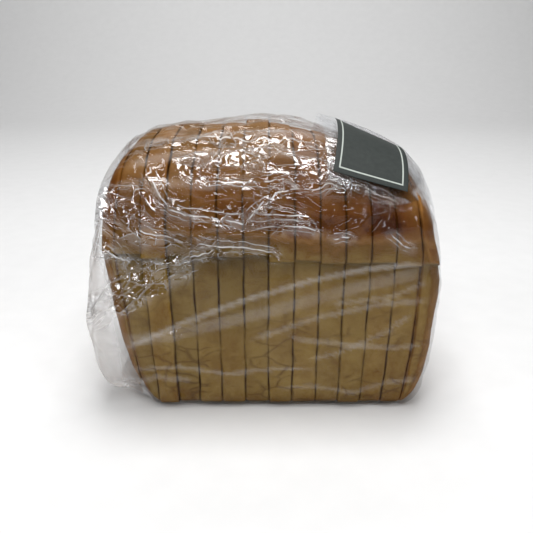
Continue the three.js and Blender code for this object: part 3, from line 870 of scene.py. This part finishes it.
def film_plan(p):
    """How much longer the film is than its first shape along and around, how crinkled it is, and where each
    point lies along and across its nearest fold, in mm."""
    x, y, z = p[..., 0], p[..., 1], p[..., 2]
    high = smooth(z, 92, 118)
    patchy = np.clip(noise(p + 1000, 24) - 0.05, 0, 1)
    pocket = smooth(-x, 70, 80) * fade(z, 84, 96)
    front_low = (smooth(-y, 46, 53) * fade(z, 80, 90)
                 * fade(np.abs(x), 76, 84))
    calm = smooth(x, 20, 34) * smooth(-y, 40, 50) * fade(z, 112, 122)
    patchy = patchy * (1 - 0.8 * calm)
    grow_u = 1.006 + 0.01 * high + 0.03 * patchy * (1 - front_low) * (1 - pocket)
    grow_v = 1.010 + 0.015 * high * (1 - calm) + 0.07 * patchy * (1 - front_low) * (1 - pocket)
    crinkle = (0.10 * patchy + 0.03 * high) * (1 - 0.6 * pocket)
    nearest = np.full(p.shape[:-1], 1e9)
    along_mm, across_mm = np.zeros(p.shape[:-1]), np.zeros(p.shape[:-1])
    sharp, off_mm = np.zeros(p.shape[:-1]), np.zeros(p.shape[:-1])
    for k, (line, width, more_u, more_v, fine) in enumerate(FOLDS):
        far, along, across = line_distance(p, line)
        length = np.sum(norm(np.diff(np.array(line, float), axis=0), axis=1))
        near = np.exp(-(far / width) ** 2)
        grow_u += (more_u - 1) * near
        grow_v += (more_v - 1) * near
        crinkle = np.maximum(crinkle, fine * np.exp(-(far / (width * 1.05)) ** 4))
        closer = far / width < nearest
        nearest = np.where(closer, far / width, nearest)
        along_mm = np.where(closer, along * length + 37.0 * k, along_mm)
        across_mm = np.where(closer, across + 53.0 * k, across_mm)
        off_mm = np.where(closer, across, off_mm)
        ends = smooth(along, 0, 0.06) * fade(along, 0.94, 1)
        sharp = np.where(closer, fine ** 0.5 * ends * (width < 5.5) * (far < 2.6 * width), sharp)
    crinkle = crinkle * (0.75 + 0.5 * noise(p + 1500, 12))
    marks = {"crinkle": np.clip(crinkle, 0, 1), "fold_along": along_mm, "fold_across": across_mm,
             "fold_off": off_mm, "fold_sharp": sharp}
    return grow_u, grow_v, marks


def fold_ridges(p):
    """How far the film stands up along its sharper folds."""
    height = np.zeros(p.shape[:-1])
    for line, width, _, _, fine in FOLDS:
        if width > 5.5:
            continue
        bent = p + 1.1 * noise(p + 3000, 10)[..., None] * np.array([0.3, 0, 1])
        off, along, _ = line_distance(bent, line)
        ends = smooth(along, 0, 0.05) * fade(along, 0.95, 1)
        height = np.maximum(height, (0.5 + 1.0 * fine) * ends * np.exp(-(off / 1.25) ** 2))
    return height * np.clip(0.85 + 0.7 * noise(p + 3500, 9), 0.2, 1.5)


def film_haze_and_glare(p, far):
    """How milky the film looks: where it stands off the bread, along its flat pleats, and along bands on
    the top that are painted glare of the overhead light.
    """
    pocket = smooth(-p[..., 0], 68, 80) * fade(p[..., 2], 80, 95)
    haze_and_glare = 0.012 * np.clip(noise(p + 2000, 15), 0, 1) + 0.012 * smooth(far, 1.5, 4.0) * (1 - pocket)
    near_side = 0.35 + 0.65 * smooth(-p[..., 1], 15, 38)
    haze_and_glare = haze_and_glare + pocket * smooth(far, 1.0, 4.0) * near_side * (0.34 + 0.08 * noise(p + 2500, 20))
    for line, width, strength in PLEATS_AND_GLARE_BANDS:
        bent = p + 0.25 * noise(p + 60, 25)[..., None] * np.array([0, 0, 1])
        off, along, _ = line_distance(bent, line)
        ends = smooth(along, 0, 0.08) * fade(along, 0.9, 1) + 0.15
        edge = fade(off, width * 0.55, width)
        haze_and_glare = haze_and_glare + 0.62 * strength * edge * np.clip(ends, 0, 1) * (0.75 + 0.2 * noise(p + 4000, 14))
    return np.clip(haze_and_glare, 0, 0.9)


# ---- the sticker
LABEL_CORNERS = np.array([[(33.9, -7.2, 143.9), (65.6, -12.0, 130.4)],
                          [(28.8, -53.3, 126.3), (62.9, -55.7, 117.4)]])
LABEL_BULGE = 5.8
LABEL_THICK = 0.25
LABEL_SIZE = (35.5, 49.0)
BORDER_IN, BORDER_WIDE = 2.7, 0.65


def label_point(u, v):
    """Underside of the sticker: u from left to right, v from the far edge to the near one, both 0 to 1."""
    u, v = np.asarray(u, float)[..., None], np.asarray(v, float)[..., None]
    c = LABEL_CORNERS
    p = (c[0, 0] * (1 - u) + c[0, 1] * u) * (1 - v) + (c[1, 0] * (1 - u) + c[1, 1] * u) * v
    lift = LABEL_BULGE * 4 * v * (1 - v) * (1 + 0.15 * (v - 0.5))
    lift = lift + 0.9 * np.clip(0.3 - u, 0, 1) * v * v
    return p + lift * np.array([0.25, -0.22, 0.94])


def label_place(x, y):
    """The u and v of the sticker over a place, by a few rounds of correction."""
    wide, deep = 33.0, 45.0
    u, v = (x - 33) / wide, (-9 - y) / deep
    for _ in range(6):
        p = label_point(u, v)
        u = u + (x - p[..., 0]) / wide
        v = v - (y - p[..., 1]) / deep
    return u, v


def press_under_label(p):
    """Film under the sticker lies just beneath it."""
    x, y = p[..., 0], p[..., 1]
    near = (x > 24) & (x < 74) & (y > -62) & (y < 0) & (p[..., 2] > 100)
    u, v = label_place(x[near], y[near])
    over = np.maximum(np.maximum(-u, u - 1) * LABEL_SIZE[0], np.maximum(-v, v - 1) * LABEL_SIZE[1])
    ceiling = label_point(np.clip(u, 0, 1), np.clip(v, 0, 1))[..., 2] - 0.3
    z = p[..., 2][near]
    p[..., 2][near] = np.where(over < 0.8, np.minimum(z, ceiling), z)
    return p


def label_material():
    n = Nodes("sticker_paper")
    nearest = None
    for name, size in (("across", LABEL_SIZE[0]), ("down", LABEL_SIZE[1])):
        value = n.attribute(name)
        for edge in (value, n.math("SUBTRACT", size, value)):
            nearest = edge if nearest is None else n.math("MINIMUM", nearest, edge)
    off = n.math("ABSOLUTE", n.math("SUBTRACT", nearest, BORDER_IN))
    line = n.range(off, BORDER_WIDE * 0.4, BORDER_WIDE * 0.62, 1.0, 0.0)
    line = n.times(line, n.range(n.noise(n.place(), 700, 3, 0.6), 0.3, 0.7, 0.82, 1.0))
    slate = n.ramp(n.noise(n.place(), 420, 4, 0.6), [(0.3, (0.026, 0.031, 0.029)),
                                                     (0.7, (0.034, 0.040, 0.037))])
    bump = n.bump(n.noise(n.place(), 90, 3, 0.5), 0.0006, 0.4)
    return n.output(n.surface(n.mix(line, slate, (0.46, 0.50, 0.46)), 0.6, bump, specular=0.2))


def make_label(material):
    columns, rows, r = 25, 33, 0.006
    us = np.concatenate([[0], np.linspace(r, 1 - r, columns), [1]])
    vs = np.concatenate([[0], np.linspace(r, 1 - r, rows), [1]])
    uu, vv = np.meshgrid(us, vs)
    under = label_point(uu, vv)
    way = np.cross(np.gradient(under, axis=1), np.gradient(under, axis=0))
    way *= np.sign(way[..., 2:3]) / norm(way, axis=-1, keepdims=True)
    edge = np.ones_like(uu)
    edge[0], edge[-1], edge[:, 0], edge[:, -1] = 0.7, 0.7, 0.7, 0.7
    top = under + way * (LABEL_THICK * edge)[..., None]
    low = under + way * (LABEL_THICK * (1 - edge) * 0.6)[..., None]
    h, w = uu.shape
    p = np.concatenate([top.reshape(-1, 3), low.reshape(-1, 3)])
    faces = []
    for a in (r * w + c for r in range(h - 1) for c in range(w - 1)):
        faces.append((a, a + w, a + w + 1, a + 1))
        faces.append((h * w + a, h * w + a + 1, h * w + a + w + 1, h * w + a + w))
    rim = list(range(w)) + [r * w + w - 1 for r in range(1, h)]
    rim += [(h - 1) * w + c for c in range(w - 2, -1, -1)] + [r * w for r in range(h - 2, 0, -1)]
    for a, b in zip(rim, rim[1:] + rim[:1]):
        faces.append((a, b, h * w + b, h * w + a))
    obj = make_mesh("sticker", p, faces, [material])
    point_attribute(obj, "across", np.tile(uu.ravel() * LABEL_SIZE[0], 2))
    point_attribute(obj, "down", np.tile(vv.ravel() * LABEL_SIZE[1], 2))
    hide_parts("label")
    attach(obj, "root")
    return obj


# The flat facets of crumpled film, of two sizes: their width in mm, how many times as long they are, how
# far they are turned from the fold, how much they tilt, and how fast they thin out where film is smoother.
FACETS = ((5.0, 2.3, 0.25, 1.35, 0.75), (2.2, 2.4, -0.3, 0.9, 1.1))
# The white lines along a sharp crease, partly the creased film's whitening and partly painted glints: how
# far from its middle in mm, how wide, how strong.
CREASE_LINES = ((0.0, 0.36, 0.95), (2.3, 0.24, 0.6), (-1.7, 0.22, 0.5))


def film_material():
    n = Nodes("clear_film")
    crinkle = n.attribute("crinkle")
    haze_and_glare = n.attribute("haze_and_glare")
    normal = n.add("NewGeometry").outputs["Normal"]
    fold = n.add("CombineXYZ", {"X": n.attribute("fold_along"), "Y": n.attribute("fold_across")}).outputs[0]
    shards, height, whitening_and_glints = None, None, None
    for size, stretch, turn, amount, less in FACETS:
        at = n.add("Mapping", {"Vector": fold, "Rotation": (0, 0, turn),
                               "Scale": (1 / (size * stretch), 1 / size, 1)}).outputs["Vector"]
        at = n.vector("ADD", at, n.scaled(n.noise(at, 0.7, 1.0, output="Color"), 0.35))
        tint = n.cells(at, 1.0, output="Color", dimensions="2D")
        border = n.cells(at, 1.0, "DISTANCE_TO_EDGE", dimensions="2D")
        pick = n.add("SeparateColor", {"Color": tint}).outputs["Red"]
        here = n.range(n.math("SUBTRACT", crinkle, n.times(pick, less)), 0.0, 0.15, 0.0, 1.0)
        tilt = n.scaled(n.vector("SUBTRACT", tint, (0.5, 0.5, 0.35)), n.times(here, amount))
        shards = tilt if shards is None else n.vector("ADD", shards, tilt)
        line = n.math("POWER", n.range(border, 0.0, 0.16, 1.0, 0.0), 1.5)
        # White lines along the facets' edges: partly whitening of creased film, partly painted glints.
        thin = n.times(n.range(border, 0.008, 0.035, 0.4, 0.0), here)
        whitening_and_glints = thin if whitening_and_glints is None else n.math("MAXIMUM", whitening_and_glints, thin)
        ridge = n.times(n.times(line, here), size * 0.10 * MM)
        height = ridge if height is None else n.math("ADD", height, ridge)
    bend = n.times(n.math("SUBTRACT", n.noise(fold, 0.07, 2), 0.5), 4.0)
    off = n.math("ADD", n.attribute("fold_off"), bend)
    broken = n.range(n.noise(fold, 0.30, 2), 0.36, 0.46, 0.0, 1.0)
    broken = n.times(n.attribute("fold_sharp"), broken)
    for place, wide, amount in CREASE_LINES:
        from_line = n.math("ABSOLUTE", n.math("SUBTRACT", off, place))
        crease = n.times(n.range(from_line, wide * 0.3, wide, amount, 0.0), broken)
        whitening_and_glints = n.math("MAXIMUM", whitening_and_glints, crease)
    # The white lines, part whitening and part painted glints, are drawn with the milky film.
    haze_and_glare = n.math("ADD", haze_and_glare, n.times(whitening_and_glints, 0.85), clamp=True)
    wave = n.noise(n.place((60, 90, 110)), 1.0, output="Color")
    soft = n.scaled(n.vector("SUBTRACT", wave, (0.5, 0.5, 0.5)), 0.16)
    moved = n.vector("ADD", n.vector("ADD", normal, shards), soft)
    moved = n.add("VectorMath", {0: moved}, operation="NORMALIZE").outputs[0]
    moved = n.bump(height, 1.0, 1.0, Normal=moved)
    clear = n.add("BsdfTransparent", {"Color": (0.97, 0.975, 0.98, 1)}).outputs[0]
    mirror = n.surface((0.95, 0.95, 0.96, 1), 0.06, moved, metallic=1.0)
    fresnel = n.add("Fresnel", {"IOR": 1.45, "Normal": moved}).outputs[0]
    layers = n.range(crinkle, 0.0, 0.6, 0.35, 3.0)
    strength = n.math("MINIMUM", n.times(fresnel, layers), 0.3)
    glossy = n.add("MixShader", {0: strength, 1: clear, 2: mirror}).outputs[0]
    milk_and_glare = n.surface((0.95, 0.925, 0.91, 1), 0.4, moved)
    return n.output(n.add("MixShader", {0: haze_and_glare, 1: glossy, 2: milk_and_glare}).outputs[0])


def make_film(bread, material):
    bag = first_bag(1.7)
    grow_u, grow_v, marks = film_plan(bag)
    rows = len(bag)
    along = np.arange(rows) / (rows - 1)
    tail = smooth(along, 0.70, 0.76)
    pocket = fade(along, 0.03, 0.12)
    hold = (0.06 * tail + 0.10 * (along > 0.975) + 0.03 * pocket).astype(np.float32)
    p = crumple(bag, grow_u, grow_v, bread, ROUNDS, hold)
    p = press_under_label(p)
    far, way = bread.sample(p.reshape(-1, 3))
    ridges = fold_ridges(p) * (along < 0.72)[:, None]
    marks["haze_and_glare"] = np.clip(film_haze_and_glare(p, far.reshape(p.shape[:2])), 0, 0.9)
    p = p + way.reshape(p.shape) * ridges[..., None]
    # The seal is one line of points: its back half is left out and joined to its front half.
    used = COLUMNS // 2 + 1
    keep = np.concatenate([np.arange(used), np.arange(COLUMNS, rows * COLUMNS)])

    def index(r, c):
        c = c % COLUMNS
        return min(c, COLUMNS - c) if r == 0 else r * COLUMNS + c - (COLUMNS - used)

    faces = [(index(r, c), index(r, c + 1), index(r + 1, c + 1), index(r + 1, c))
             for r in range(rows - 1) for c in range(COLUMNS)]
    obj = make_mesh("bag_film", p.reshape(-1, 3)[keep], faces, [material])
    for name, values in marks.items():
        point_attribute(obj, name, values.ravel()[keep])
    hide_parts("film_bag")
    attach(obj, "root")
    return obj


make_camera()
make_stage()
bread_materials = [crust_material(), crumb_material()]
slices = [make_slice(i, bread_materials) for i in range(SLICES)]
film = make_film(BreadDistance(slices), film_material())
sticker = make_label(label_material())
